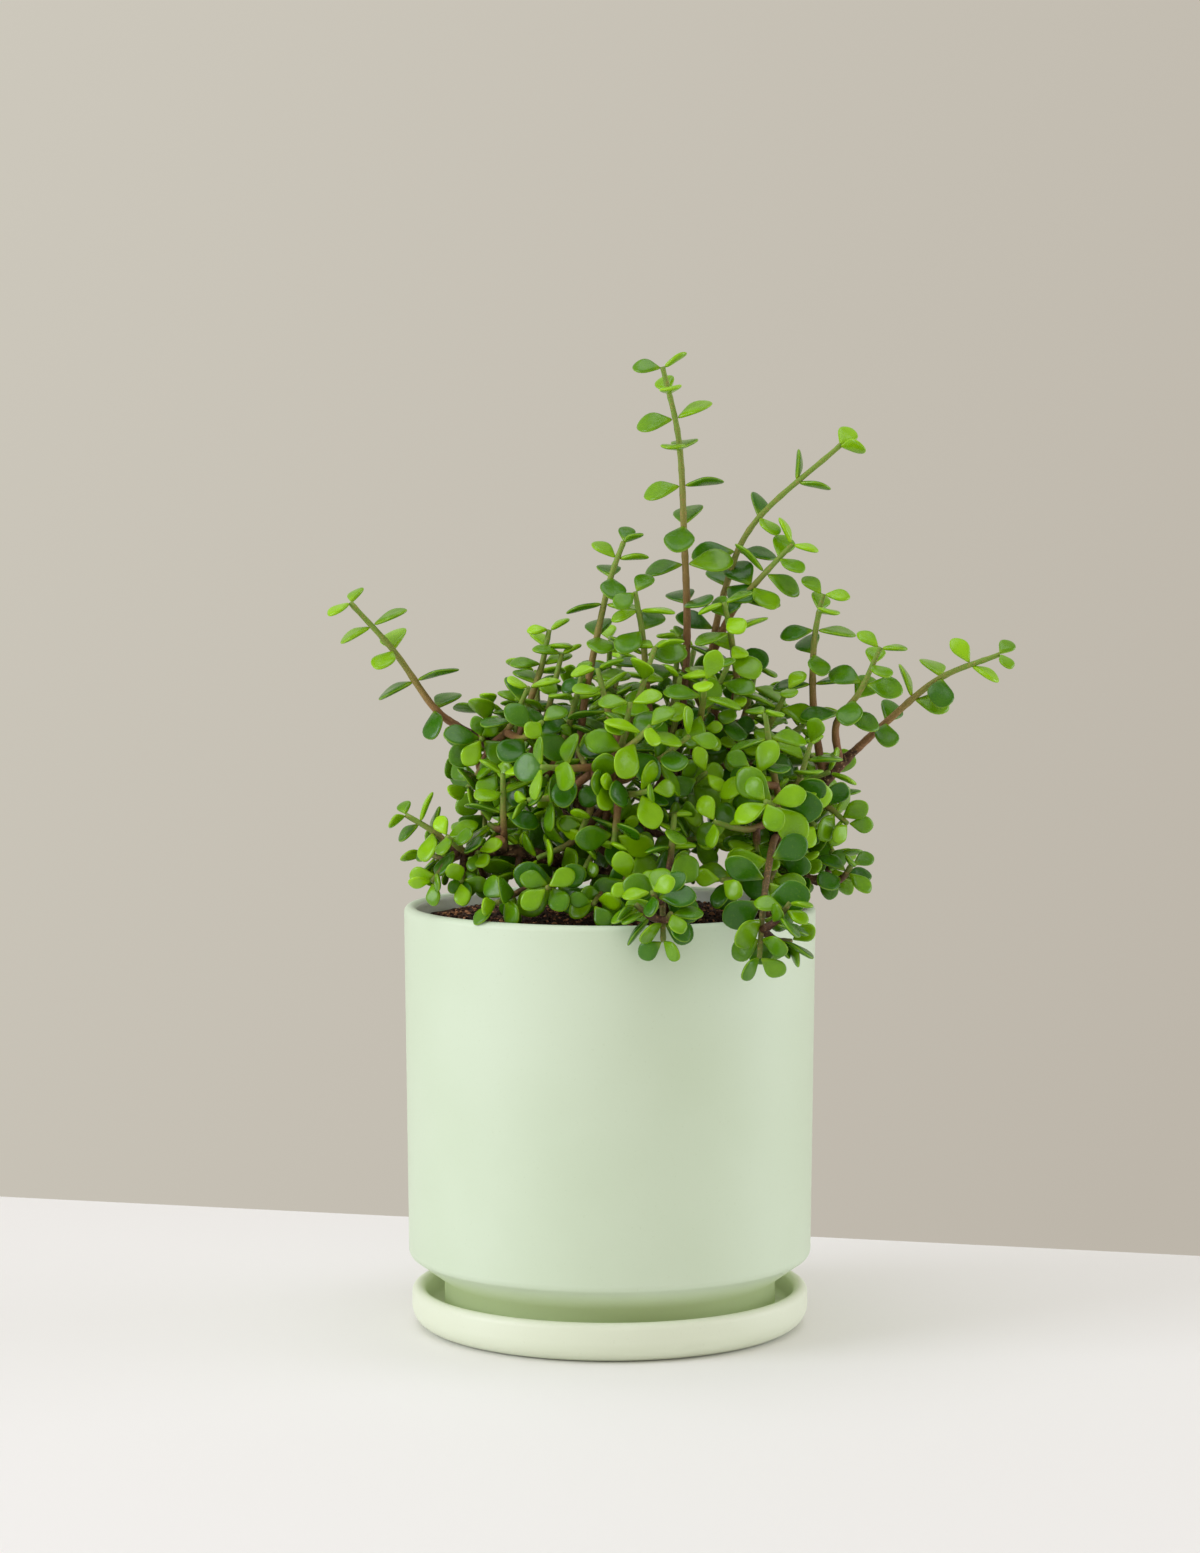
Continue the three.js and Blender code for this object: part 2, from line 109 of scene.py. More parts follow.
room = bpy.data.worlds.new("room")
room.use_nodes = True
bpy.context.scene.world = room
room_nodes = room.node_tree.nodes
room_side = room_nodes.new("ShaderNodeTexCoord")
room_fall = room_nodes.new("ShaderNodeVectorMath")
room_fall.operation = "DOT_PRODUCT"
room_fall.inputs[1].default_value = ROOM_FALL
room_range = room_nodes.new("ShaderNodeMapRange")
room_range.inputs["From Min"].default_value = -ROOM_SPAN
room_range.inputs["From Max"].default_value = ROOM_SPAN
room_mix = room_nodes.new("ShaderNodeMix")
room_mix.data_type = "RGBA"
room_mix.inputs[6].default_value = ROOM_LEFT
room_mix.inputs[7].default_value = ROOM_RIGHT
for start, end in (
    (room_side.outputs["Generated"], room_fall.inputs[0]),
    (room_fall.outputs["Value"], room_range.inputs["Value"]),
    (room_range.outputs[0], room_mix.inputs["Factor"]),
    (room_mix.outputs[2], room_nodes["Background"].inputs["Color"]),
):
    room.node_tree.links.new(start, end)
room_nodes["Background"].inputs["Strength"].default_value = 1.0


# ---- Table top -------------------------------------------------------------------------------------
# A plain pale matt table top, painted board. It fills the view to the front and the sides, and its
# straight far edge, turned a little, shows behind the pot.

TABLE_REACH = 1.4
TABLE_EDGE_POINT = Vector((0, 180, 0)) * MM
TABLE_EDGE_TURN = math.radians(-14.5)
TABLE_COLOUR = tint(240, 239, 237)
TABLE_SCUFFED = tint(233, 231, 227)


class Signal:
    """One output of a material's node, on which sums can be written."""

    def __init__(self, finish, socket):
        self.finish = finish
        self.socket = socket

    def maths(self, operation, *terms):
        return self.finish.node("Math", {"operation": operation}, dict(enumerate(terms)))

    def __add__(self, other):
        return self.maths("ADD", self, other)

    def __sub__(self, other):
        return self.maths("SUBTRACT", self, other)

    def __rsub__(self, other):
        return self.maths("SUBTRACT", other, self)

    def __mul__(self, other):
        return self.maths("MULTIPLY", self, other)

    __radd__ = __add__
    __rmul__ = __mul__

    def size(self):
        return self.maths("ABSOLUTE", self)

    def rising(self, low, high):
        """0 below low and 1 above high, with a soft step between."""
        return self.finish.node(
            "MapRange", {"interpolation_type": "SMOOTHSTEP"},
            {"Value": self, "From Min": low, "From Max": high},
        )


class Finish:
    """A material with a Principled shader, and the nodes that feed it."""

    def __init__(self, name, **constants):
        self.material = bpy.data.materials.new(name)
        self.material.use_nodes = True
        self.tree = self.material.node_tree
        self.shader = self.tree.nodes["Principled BSDF"]
        for socket, value in constants.items():
            self.shader.inputs[socket.replace("_", " ")].default_value = value
        self.places = self.node("TexCoord", {}, {}, "Object")

    def node(self, kind, settings, values, output=0):
        made = self.tree.nodes.new("ShaderNode" + kind)
        for name, value in settings.items():
            setattr(made, name, value)
        for name, value in values.items():
            self.feed(made.inputs[name], value)
        return Signal(self, made.outputs[output])

    def feed(self, socket, value):
        if isinstance(value, Signal):
            self.tree.links.new(value.socket, socket)
        else:
            socket.default_value = value

    def set(self, **signals):
        for socket, value in signals.items():
            self.feed(self.shader.inputs[socket.replace("_", " ")], value)

    def cloud(self, size, detail=3, stretch=(1, 1, 1)):
        """Soft noise from 0 to 1 whose blotches are about that many metres across."""
        place = self.node("Mapping", {}, {"Vector": self.places, "Scale": stretch})
        return self.node("TexNoise", {}, {"Vector": place, "Scale": 1 / size, "Detail": detail})

    def blend(self, amount, first, second):
        return self.node("Mix", {"data_type": "RGBA"}, {0: amount, 6: first, 7: second}, 2)

    def painted(self, name):
        """A value that the mesh itself carries."""
        return self.node("Attribute", {"attribute_name": name}, {}, "Fac")

    def relief(self, height, depth):
        """A surface that stands up by that depth in metres where height is 1."""
        bump = self.node("Bump", {}, {"Height": height, "Distance": depth, "Strength": 1.0})
        self.set(Normal=bump)


def finished(name, mesh, finish):
    """Makes the bmesh an object, smooth all over, with that finish."""
    data = bpy.data.meshes.new(name)
    mesh.to_mesh(data)
    mesh.free()
    data.polygons.foreach_set("use_smooth", [True] * len(data.polygons))
    data.materials.append(finish.material)
    made = bpy.data.objects.new(name, data)
    bpy.context.scene.collection.objects.link(made)
    return made


def table_finish():
    matt = Finish("table_paint", Roughness=0.6)
    matt.set(Base_Color=matt.blend(matt.cloud(0.4) * 0.3, TABLE_COLOUR, TABLE_SCUFFED))
    return matt


table_mesh = bmesh.new()
bmesh.ops.create_grid(table_mesh, x_segments=1, y_segments=1, size=TABLE_REACH)
edge_way = Matrix.Rotation(TABLE_EDGE_TURN, 3, "Z") @ Vector((0, 1, 0))
bmesh.ops.bisect_plane(
    table_mesh, geom=table_mesh.verts[:] + table_mesh.edges[:] + table_mesh.faces[:],
    plane_co=TABLE_EDGE_POINT, plane_no=edge_way, clear_outer=True,
)
finished("table", table_mesh, table_finish())


# ---- Saucer ----------------------------------------------------------------------------------------
# A shallow dish of glazed stoneware, turned and fired to match the pot. Its wall leans out to a
# fat rounded lip, and its flat underside stands on the table.

TURNS = 144
WELD = 0.001 # millimetres


def arc(radius, height, bend, start, end, steps):
    """Points of a round stretch of a profile, between two angles in degrees."""
    angles = [math.radians(start + (end - start) * i / steps) for i in range(steps + 1)]
    return [(radius + bend * math.cos(a), height + bend * math.sin(a)) for a in angles]


def turned(profile):
    """Spins a closed profile of radius and height, in millimetres, into a closed shape."""
    mesh = bmesh.new()
    points = [mesh.verts.new(Vector((r, 0, z)) * MM) for r, z in profile]
    for first, second in zip(points, points[1:]):
        mesh.edges.new((first, second))
    bmesh.ops.spin(
        mesh, geom=mesh.verts[:] + mesh.edges[:], cent=(0, 0, 0), axis=(0, 0, 1),
        angle=2 * math.pi, steps=TURNS, use_merge=True,
    )
    bmesh.ops.remove_doubles(mesh, verts=mesh.verts[:], dist=WELD * MM)
    bmesh.ops.recalc_face_normals(mesh, faces=mesh.faces[:])
    return mesh


def glaze(name, colour, thin, specked):
    """A satin stoneware glaze with pinholes, paler where thin, with painted light inside and painted
    shade round the foot.
    """
    satin = Finish(name, Roughness=0.42, Specular_IOR_Level=0.42)
    broad = satin.cloud(0.06, 2)
    fine = satin.cloud(0.0018, 3)
    outer = satin.blend(broad.rising(0.35, 0.7) * 0.5, colour, thin)
    # Painted light: the pot's inner wall, marked inside, is painted paler, as if lit.
    lit_inside_wall = satin.blend(satin.painted("inside"), outer, tint(243, 248, 236))
    # Painted shade: the foot is painted a deeper green, as the shade and green bounced light round it.
    body = satin.blend(satin.painted("painted_foot_shade"), lit_inside_wall, tint(205, 222, 169))
    specks = satin.cloud(0.0009, 1).rising(0.68, 0.78) * 0.16
    satin.set(
        Base_Color=satin.blend(specks, body, specked),
        Roughness=0.4 + fine * 0.12,
    )
    satin.relief(broad * 0.7 + fine * 0.05, 0.5 * MM)
    return satin


SAUCER_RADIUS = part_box("saucer")[1][0] / MM
SAUCER_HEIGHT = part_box("saucer")[1][2] / MM
SAUCER_BASE = 65
SAUCER_FLAT = 62 # the radius of the flat underside
SAUCER_LIP = 2.6
SAUCER_FLOOR = 4.7
SAUCER_TAPER = 0.4
SAUCER_COVE = 3
SAUCER_CORNER = SAUCER_RADIUS - SAUCER_BASE
SAUCER_WELL = SAUCER_RADIUS - 2 * SAUCER_LIP - SAUCER_TAPER - SAUCER_COVE

saucer_profile = [
    (0, 0),
    (SAUCER_FLAT, 0),
    *arc(SAUCER_BASE, SAUCER_CORNER, SAUCER_CORNER, -84, 0, 12),
    *arc(SAUCER_RADIUS - SAUCER_LIP, SAUCER_HEIGHT - SAUCER_LIP, SAUCER_LIP, 4, 176, 12),
    *arc(SAUCER_WELL, SAUCER_FLOOR + SAUCER_COVE, SAUCER_COVE, 0, -90, 6),
    (0, SAUCER_FLOOR),
]
saucer = finished(
    "saucer_glazed", turned(saucer_profile),
    glaze("saucer_glaze", tint(225, 232, 208), tint(232, 238, 217), tint(199, 208, 175)),
)
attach(saucer, "root")
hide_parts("saucer")


# ---- Pot -------------------------------------------------------------------------------------------
# A straight-sided stoneware pot, thrown a little narrower to the bottom, with a rounded rim. The
# body turns in underneath to a narrower foot, which stands in the saucer. Its foot is painted a
# deeper green as shade, and its inner wall paler as light.

POT_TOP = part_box("pot")[1][0] / MM
POT_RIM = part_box("pot")[1][2] / MM
POT_BOTTOM = 73.6
POT_SHOULDER = 28
POT_EDGE = 3.2
POT_LIP = 2.3
POT_WALL = 4.6
POT_INSIDE = POT_BOTTOM - POT_WALL
FOOT_RADIUS = 60.6
FOOT_TOP = 17
FOOT_WALL = 5
FOOT_FLOOR = 5
FOOT_EDGE = 1.6
COVE_WALL = 7 # the bend inside the pot, from its wall to its foot
COVE_CORNER = 3
COVE_INSET = 2
COVE_WELL = 5.5
DRAIN_RADIUS = 6
PAINTED_LIGHT_RADIUS = POT_TOP - 1.8 * POT_LIP # the painted light on the pot's inner wall starts here, just inside its lip


def painted_where(mesh, name, chosen):
    """Gives the corners a value: 1 where chosen says so from radius and height in millimetres."""
    layer = mesh.verts.layers.float.new(name)
    for spot in mesh.verts:
        spot[layer] = float(chosen(spot.co.xy.length / MM, spot.co.z / MM))


pot_profile = [
    (DRAIN_RADIUS, FOOT_FLOOR),
    *arc(FOOT_RADIUS - FOOT_EDGE, FOOT_FLOOR + FOOT_EDGE, FOOT_EDGE, -90, 0, 5),
    (FOOT_RADIUS, FOOT_TOP),
    *arc(POT_BOTTOM - POT_EDGE, POT_SHOULDER, POT_EDGE, -62, 0, 8),
    *arc(POT_TOP - POT_LIP, POT_RIM - POT_LIP, POT_LIP, 0, 180, 14),
    (POT_INSIDE, POT_SHOULDER + COVE_WALL),
    (POT_INSIDE - COVE_INSET, POT_SHOULDER + COVE_CORNER),
    (FOOT_RADIUS - FOOT_WALL, FOOT_TOP + COVE_WELL),
    (FOOT_RADIUS - FOOT_WALL, FOOT_FLOOR + FOOT_WALL),
    (DRAIN_RADIUS, FOOT_FLOOR + FOOT_WALL),
    (DRAIN_RADIUS, FOOT_FLOOR),
]
pot_mesh = turned(pot_profile)
# Marks the inner wall, which is painted paler as light.
painted_where(pot_mesh, "inside", lambda radius, height: height > POT_SHOULDER and radius < PAINTED_LIGHT_RADIUS)
# Marks the foot, which is painted a deeper green as shade.
painted_where(pot_mesh, "painted_foot_shade", lambda radius, height: height < FOOT_TOP + FOOT_EDGE)
pot = finished(
    "pot_glazed", pot_mesh,
    glaze("pot_glaze", tint(206, 221, 194), tint(213, 227, 203), tint(182, 198, 163)),
)
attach(pot, "root")
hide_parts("pot")


# ---- Potting mix -----------------------------------------------------------------------------------
# Dark peat and bark with orange-brown chips, heaped a little to the middle. The bed is one body with
# a rough top, and loose crumbs lie all over it.

SOIL_EDGE = 148
SOIL_CROWN = 150.5
SOIL_GAP = 0.3 # left between the mix and the pot
SOIL_RADIUS = POT_TOP - 2 * POT_LIP - SOIL_GAP
SOIL_RINGS = 40
SOIL_UNEVEN = 0.9
CLOD = 5
CRUMBS = 1900
CRUMB_SIZES = (0.3, 0.85) # radius in millimetres
CHIP_SIZE = 0.9 # how much larger the few coarse chips are


class Dice:
    """Evenly spread numbers from 0 to 1, the same in every run."""

    def __init__(self, seed):
        self.state = seed

    def roll(self):
        self.state = self.state * 16807 % 2147483647
        return self.state / 2147483647

    def between(self, low, high):
        return low + (high - low) * self.roll()


def soil_height(radius):
    """Height of the bed's top at a distance from the pot's axis, in millimetres."""
    return SOIL_CROWN - (SOIL_CROWN - SOIL_EDGE) * (radius / SOIL_RADIUS) ** 2


def soil_finish():
    mix = Finish("potting_mix", Roughness=0.95, Specular_IOR_Level=0.2)
    clods = mix.cloud(0.004, 4)
    grain = mix.cloud(0.0009, 3)
    dark = mix.blend(clods.rising(0.35, 0.65), tint(40, 25, 18), tint(72, 48, 34))
    mix.set(Base_Color=mix.blend(grain.rising(0.58, 0.7), dark, tint(156, 102, 66)))
    mix.relief(clods * 0.6 + grain * 0.4, 1.2 * MM)
    return mix


def crumb_finish():
    chips = Finish("potting_crumbs", Roughness=0.9, Specular_IOR_Level=0.25)
    tone = chips.painted("tone")
    peat = chips.blend(tone.rising(0.1, 0.6), tint(33, 20, 15), tint(84, 55, 38))
    bark = chips.blend(tone.rising(0.62, 0.8), peat, tint(206, 146, 102))
    chips.set(Base_Color=chips.blend(chips.cloud(0.0008) * 0.4, bark, tint(52, 34, 25)))
    chips.relief(chips.cloud(0.0005), 0.3 * MM)
    return chips


soil_bottom = FOOT_FLOOR + FOOT_WALL + SOIL_GAP
soil_well = FOOT_RADIUS - FOOT_WALL - SOIL_GAP
soil_rings = [SOIL_RADIUS * (1 - i / SOIL_RINGS) for i in range(SOIL_RINGS + 1)]
bed = turned([
    (0, soil_bottom),
    (soil_well, soil_bottom),
    (soil_well, FOOT_TOP + COVE_WELL + SOIL_GAP),
    (POT_INSIDE - COVE_INSET - SOIL_GAP, POT_SHOULDER + COVE_CORNER + SOIL_GAP),
    (POT_INSIDE - SOIL_GAP, POT_SHOULDER + COVE_WALL + SOIL_GAP),
    *[(radius, soil_height(radius)) for radius in soil_rings],
])
for spot in bed.verts:
    if spot.co.z > (SOIL_EDGE - 1) * MM and spot.co.xy.length < (SOIL_RADIUS - 0.5) * MM:
        spot.co.z += SOIL_UNEVEN * MM * noise.fractal(spot.co / (CLOD * MM), 1.0, 2.0, 3)
soil = finished("potting_mix_bed", bed, soil_finish())
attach(soil, "root")
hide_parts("soil")

dice = Dice(4211)
crumbs = bmesh.new()
tone_layer = crumbs.verts.layers.float.new("tone")
for _ in range(CRUMBS):
    distance = (SOIL_RADIUS - 1.5) * math.sqrt(dice.roll())
    bearing = dice.between(0, 2 * math.pi)
    size = dice.between(*CRUMB_SIZES) + CHIP_SIZE * dice.roll() ** 6
    place = Vector((distance * math.cos(bearing), distance * math.sin(bearing), 0))
    place.z = soil_height(distance) + CRUMB_SIZES[0]
    spin = Matrix.Rotation(dice.between(0, 6.3), 4, "Z")
    roll = Matrix.Rotation(dice.between(0, 6.3), 4, "X")
    form = Matrix.Diagonal((size, size * dice.between(0.5, 0.9), size * dice.between(0.4, 0.8), 1))
    made = bmesh.ops.create_icosphere(
        crumbs, subdivisions=1, radius=MM, matrix=Matrix.Translation(place * MM) @ spin @ roll @ form,
    )
    tone = dice.roll()
    for corner in made["verts"]:
        corner[tone_layer] = tone
loose = finished("potting_mix_crumbs", crumbs, crumb_finish())
loose.data.polygons.foreach_set("use_smooth", [False] * len(loose.data.polygons))
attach(loose, "root")


# ---- Woody stems -----------------------------------------------------------------------------------
# Several rooted cuttings stand in the mix. Their old wood is dark brown and knobby, ringed with the
# scars of fallen leaf pairs, and was cut back in places, which leaves pale scars.

# Each cutting: the points along each stem's middle and its radius at both ends, in millimetres.
CUTTINGS = {
    "trunk_left": [
        (
            [(-4, -8, 130), (-4, -9, 152), (3, -11, 168), (12, -9, 183), (20, -4, 200), (26, 0, 222)],
            4.4, 2.2,
        ),
        ([(1, -11, 164), (-16, -20, 171), (-36, -27, 176), (-52, -29, 175)], 2.9, 1.8),
        ([(7, -10, 175), (-12, -8, 192), (-35, -4, 207), (-55, -3, 219)], 2.7, 1.8),
        ([(9, -10, 179), (2, -28, 192), (-6, -42, 205)], 2.3, 1.6),
    ],
    "trunk_middle": [
        ([(14, 22, 130), (14, 22, 152), (10, 24, 172), (3, 27, 192), (-2, 30, 214)], 4.2, 2),
        ([(12, 23, 165), (-8, 34, 180), (-28, 42, 196)], 2.6, 1.7),
        ([(9, 24, 175), (22, 40, 190), (32, 50, 206)], 2.5, 1.7),
    ],
    "trunk_right": [
        (
            [(53, -8, 130), (54, -8, 150), (58, -6, 168), (66, -2, 184), (78, 3, 199), (90, 6, 210)],
            4.6, 2.2,
        ),
        ([(59, -6, 170), (61, -24, 182), (62, -40, 194)], 2.5, 1.7),
        ([(66, -2, 184), (52, 8, 200), (40, 12, 218)], 2.5, 1.7),
        ([(67, -1, 186), (74, 20, 196), (76, 36, 205)], 2.4, 1.7),
        ([(57, -7, 164), (70, -10, 164), (82, -12, 163)], 2, 1.4),
    ],
    "pruned_stub": [
        ([(20, -36, 130), (21, -37, 150), (27, -41, 161)], 4.4, 4.2),
    ],
}
# Cut-back side stems: cutting, stem, share of the way along it, the way that it points.
SNAGS = [
    ("trunk_left", 1, 0.72, (-0.1, -0.75, 0.65)),
    ("trunk_left", 0, 0.5, (0.6, -0.8, 0.1)),
    ("trunk_left", 2, 0.55, (-0.2, -0.9, 0.4)),
    ("trunk_right", 0, 0.42, (-0.7, -0.7, 0.2)),
    ("trunk_right", 0, 0.7, (0.3, -0.8, 0.5)),
    ("trunk_middle", 0, 0.6, (0.8, 0.5, 0.3)),
    ("trunk_middle", 1, 0.5, (-0.2, 0.9, 0.4)),
]
LEAF_SCARS = 7 # millimetres from one ring of scars to the next
SCAR_WIDTH = 0.9
SCAR_RIDGE = 0.45
LIMB_SIDES = 12
LIMB_STEP = 1.3
SNAG_SIDES = 10
SNAG_STEPS = 5
STUB_CUT = (24.5, 158) # the stub is cut to the right of this and above it


def curve_span(path, share):
    """The hermite terms of a smooth curve through the points, where share of it lies behind."""
    points = [np.array(p, float) for p in path]
    last = len(points) - 1
    span = min(int(share * last), last - 1)
    before = points[span - 1] if span > 0 else 2 * points[0] - points[1]
    after = points[span + 2] if span + 2 <= last else 2 * points[last] - points[last - 1]
    start, end = points[span], points[span + 1]
    leave, arrive = (end - before) / 2, (after - start) / 2
    terms = (start, leave, 3 * (end - start) - 2 * leave - arrive, 2 * (start - end) + leave + arrive)
    return terms, share * last - span


def curve_point(path, share):
    (a, b, c, d), t = curve_span(path, share)
    return a + b * t + c * t * t + d * t ** 3


def curve_way(path, share):
    """The direction in which the curve runs."""
    (_, b, c, d), t = curve_span(path, share)
    way = b + 2 * c * t + 3 * d * t * t
    return way / np.linalg.norm(way)


def ring_axes(path, steps):
    """Two directions square to the curve for each ring along it, turning as little as they can."""
    side = np.array((0.0, 1.0, 0.0) if abs(curve_way(path, 0)[0]) > 0.9 else (1.0, 0.0, 0.0))
    axes = []
    for ring in range(steps + 1):
        way = curve_way(path, ring / steps)
        side = side - way * side.dot(way)
        side /= np.linalg.norm(side)
        axes.append((side.copy(), np.cross(way, side)))
    return axes


def stem(mesh, path, radius_at, sides, steps, marks):
    """Bends a capped cylinder along a path. radius_at gives its radius from share and bearing."""
    before = len(mesh.verts)
    made = bmesh.ops.create_cone(mesh, cap_ends=True, segments=sides, radius1=1, radius2=1, depth=1)
    edges = {
        edge for corner in made["verts"] for edge in corner.link_edges
        if abs(edge.verts[0].co.z - edge.verts[1].co.z) > 0.5
    }
    bmesh.ops.subdivide_edges(mesh, edges=list(edges), cuts=steps - 1)
    mesh.verts.ensure_lookup_table()
    axes = ring_axes(path, steps)
    for corner in mesh.verts[before:]:
        ring = round((corner.co.z + 0.5) * steps)
        bearing = math.atan2(corner.co.y, corner.co.x)
        share = ring / steps
        radius = radius_at(share, bearing)
        side, across = axes[ring]
        outward = math.cos(bearing) * side + math.sin(bearing) * across
        corner.co = Vector(curve_point(path, share) + radius * outward) * MM
        for layer, value in marks(share).items():
            corner[layer] = value


def path_length(path):
    return sum(math.dist(a, b) for a, b in zip(path, path[1:]))


def bark_finish():
    bark = Finish("old_bark", Roughness=0.85, Specular_IOR_Level=0.25)
    flakes = bark.cloud(0.0035, 4)
    pores = bark.cloud(0.0012, 3)
    brown = bark.blend(flakes.rising(0.3, 0.7), tint(42, 27, 18), tint(126, 93, 66))
    lichen = bark.blend(pores.rising(0.55, 0.7) * 0.7, brown, tint(190, 156, 118))
    rings = bark.painted("scar")
    ringed = bark.blend(rings * 0.55, lichen, tint(34, 21, 14))
    cut = bark.painted("cut").rising(0.55, 0.95)
    sawn = bark.blend(pores, tint(188, 148, 102), tint(142, 96, 60))
    bark.set(Base_Color=bark.blend(cut, ringed, sawn))
    bark.relief(flakes * 0.6 + pores * 0.4 - rings * 0.5, 0.7 * MM)
    return bark


def limb(mesh, path, start, end, layers):
    """One woody stem with swollen rings of leaf scars and an uneven girth."""
    length = path_length(path)
    steps = max(6, round(length / LIMB_STEP))
    phase = dice.between(0, LEAF_SCARS)

    def swelling(share):
        along = (share * length + phase) % LEAF_SCARS - LEAF_SCARS / 2
        return math.exp(-((along / SCAR_WIDTH) ** 2))

    def radius_at(share, bearing):
        place = (math.cos(bearing), math.sin(bearing), share * length / 4 + phase)
        girth = (start + (end - start) * share) * (1 + 0.12 * noise.noise(Vector(place)))
        lobes = 0.55 + 0.45 * math.cos(2 * bearing + round(share * length / LEAF_SCARS))
        closing = min(1, 0.62 + 3 * (1 - share)) if end < 3 else 1
        return girth * closing + SCAR_RIDGE * swelling(share) * lobes

    def marks(share):
        return {layers["scar"]: swelling(share), layers["cut"]: 0}

    stem(mesh, path, radius_at, LIMB_SIDES, steps, marks)


def snag(mesh, root, way, layers):
    """The stump of a side stem that was cut off, with its pale sawn face."""
    way = np.array(way) / np.linalg.norm(way)
    girth = dice.between(1.9, 2.4)
    path = [root, root + way * 2.4, root + way * dice.between(4.6, 5.6)]

    def radius_at(share, bearing):
        flare = 1.25 - 0.3 * share + 0.1 * math.sin(2 * bearing + girth * 9)
        return girth * flare * (0.86 if share == 1 else 1)

    def marks(share):
        return {layers["scar"]: 0, layers["cut"]: float(share > 0.9)}

    stem(mesh, path, radius_at, SNAG_SIDES, SNAG_STEPS, marks)


bark_material = bark_finish()
for cutting, limbs in CUTTINGS.items():
    wood = bmesh.new()
    wood_layers = {name: wood.verts.layers.float.new(name) for name in ("scar", "cut")}
    for path, start, end in limbs:
        limb(wood, path, start, end, wood_layers)
    for owner, number, share, way in SNAGS:
        if owner == cutting:
            path, start, end = limbs[number]
            middle = curve_point(path, share)
            snag(wood, middle + 0.4 * start * np.array(way), way, wood_layers)
    if cutting == "pruned_stub":
        for corner in wood.verts:
            right, high = corner.co.x > STUB_CUT[0] * MM, corner.co.z > STUB_CUT[1] * MM
            corner[wood_layers["cut"]] = float(right and high)
    timber = finished(cutting + "_wood", wood, bark_material)
    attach(timber, "root")
    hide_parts(cutting)


# ---- Leafy shoots ----------------------------------------------------------------------------------
# This season's shoots spring from the old wood. Their thin stems ripen from green to reddish tan,
# and carry thick round leaves in opposite pairs, each pair square to the last, youngest at the tip.

# Each shoot: pairs of leaves, full leaf length, turn of the first pair in degrees, leafless share,
# then the points along its main twig and along its side twigs, in millimetres.
SHOOTS = {
    "leader": (9, 17, 0, 0.08, [
        [(26, 0, 220), (28, 0, 252), (27, 1, 286), (25, 1, 322), (19, 0, 349)],
    ]),
    "upper_right": (6, 16, 20, 0.2, [
        [(40, 12, 216), (37, 10, 240), (42, 9, 268), (53, 8, 293), (84, 6, 321)],
        [(38, 10, 246), (45, 4, 261), (54, 0, 272), (66, -3, 285)],
    ]),
    "right_upright": (5, 14.5, 0, 0.25, [[(78, 4, 199), (74, 0, 226), (74, -4, 250), (77, -6, 267)]]),
    "right_leaning": (5, 14.5, 0, 0.25, [[(84, 5, 205), (82, -6, 220), (90, -12, 232), (97, -16, 248)]]),
    "far_right": (5, 15, 100, 0.1, [[(89, 6, 209), (101, 6, 220), (120, 4, 236), (142, 2, 245)]]),
    "far_left": (5, 16.5, 70, 0.08, [[(-54, -3, 218), (-64, -3, 226), (-78, -4, 246), (-94, -5, 264)]]),
    "upper_left": (6, 15.5, 0, 0.2, [
        [(-12, -8, 191), (-10, -6, 222), (-5, -6, 250), (0, -6, 272), (5, -6, 286)],
    ]),
    "upper_left_low": (5, 13, 30, 0.15, [[(-35, -4, 207), (-30, -2, 225), (-25, 0, 240), (-22, 0, 254)]]),
    "inner_left": (5, 15.5, 60, 0.25, [[(19, -5, 198), (14, -10, 226), (12, -12, 250), (9, -16, 268)]]),
    "inner_right": (5, 15.5, 20, 0.25, [[(41, 11, 216), (46, 2, 232), (44, -8, 250), (41, -14, 264)]]),
    "low_left": (5, 13.5, 60, 0.05, [
        [(-50, -29, 175), (-56, -30, 177), (-63, -30, 183), (-73, -30, 189)],
        [(-54, -30, 176), (-58, -35, 172), (-63, -40, 166)],
    ]),
    "low_right": (3, 12.5, 60, 0.1, [[(80, -12, 163), (84, -15, 165), (87, -18, 170)]]),
    "right_droop": (4, 13, 40, 0.3, [[(72, 1, 193), (79, -6, 190), (86, -10, 184)]]),
    "front_right_hanging": (6, 16.5, 45, 0.3, [
        [(60, -24, 181), (57, -50, 180), (53, -74, 164), (51, -83, 144)],
    ]),
    "front_middle_hanging": (5, 15, 45, 0.25, [
        [(21, -37, 152), (20, -58, 166), (18, -78, 164), (18, -86, 150)],
    ]),
    "front_bright": (4, 17, 20, 0.2, [[(61, -38, 193), (58, -50, 194), (54, -62, 196)]]),
    "front_right_low": (4, 15, 70, 0.3, [[(55, -8, 160), (47, -32, 166), (39, -56, 168)]]),
    "front_left_low": (5, 15, 45, 0.3, [
        [(-14, -19, 170), (-18, -42, 166), (-22, -62, 166)],
        [(-17, -36, 167), (-30, -48, 164), (-40, -56, 160)],
    ]),
    "front_middle_low": (5, 14, 30, 0.3, [
        [(3, -11, 168), (4, -38, 168), (8, -64, 168)],
        [(4, -34, 168), (-2, -48, 164), (-6, -60, 160)],
    ]),
    "front_centre": (4, 16, 10, 0.2, [
        [(-6, -42, 204), (6, -52, 214), (14, -58, 222)],
        [(-3, -45, 207), (-14, -52, 207), (-24, -60, 208)],
    ]),
}
# The crown between them is made of forked shoots whose twigs end evenly over a dome.
CROWN_CENTRE = np.array((14, 0, 200))
CROWN_REACH = np.array((66, 58, 52))
CROWN_LOWEST = -0.6
CROWN_TIPS = 58
CROWN_STARTS = 14
CROWN_LEAVES = (3, 15)
CROWN_BARE = 0.35
CROWN_SAG = 0.12
CROWN_FORK = 0.4

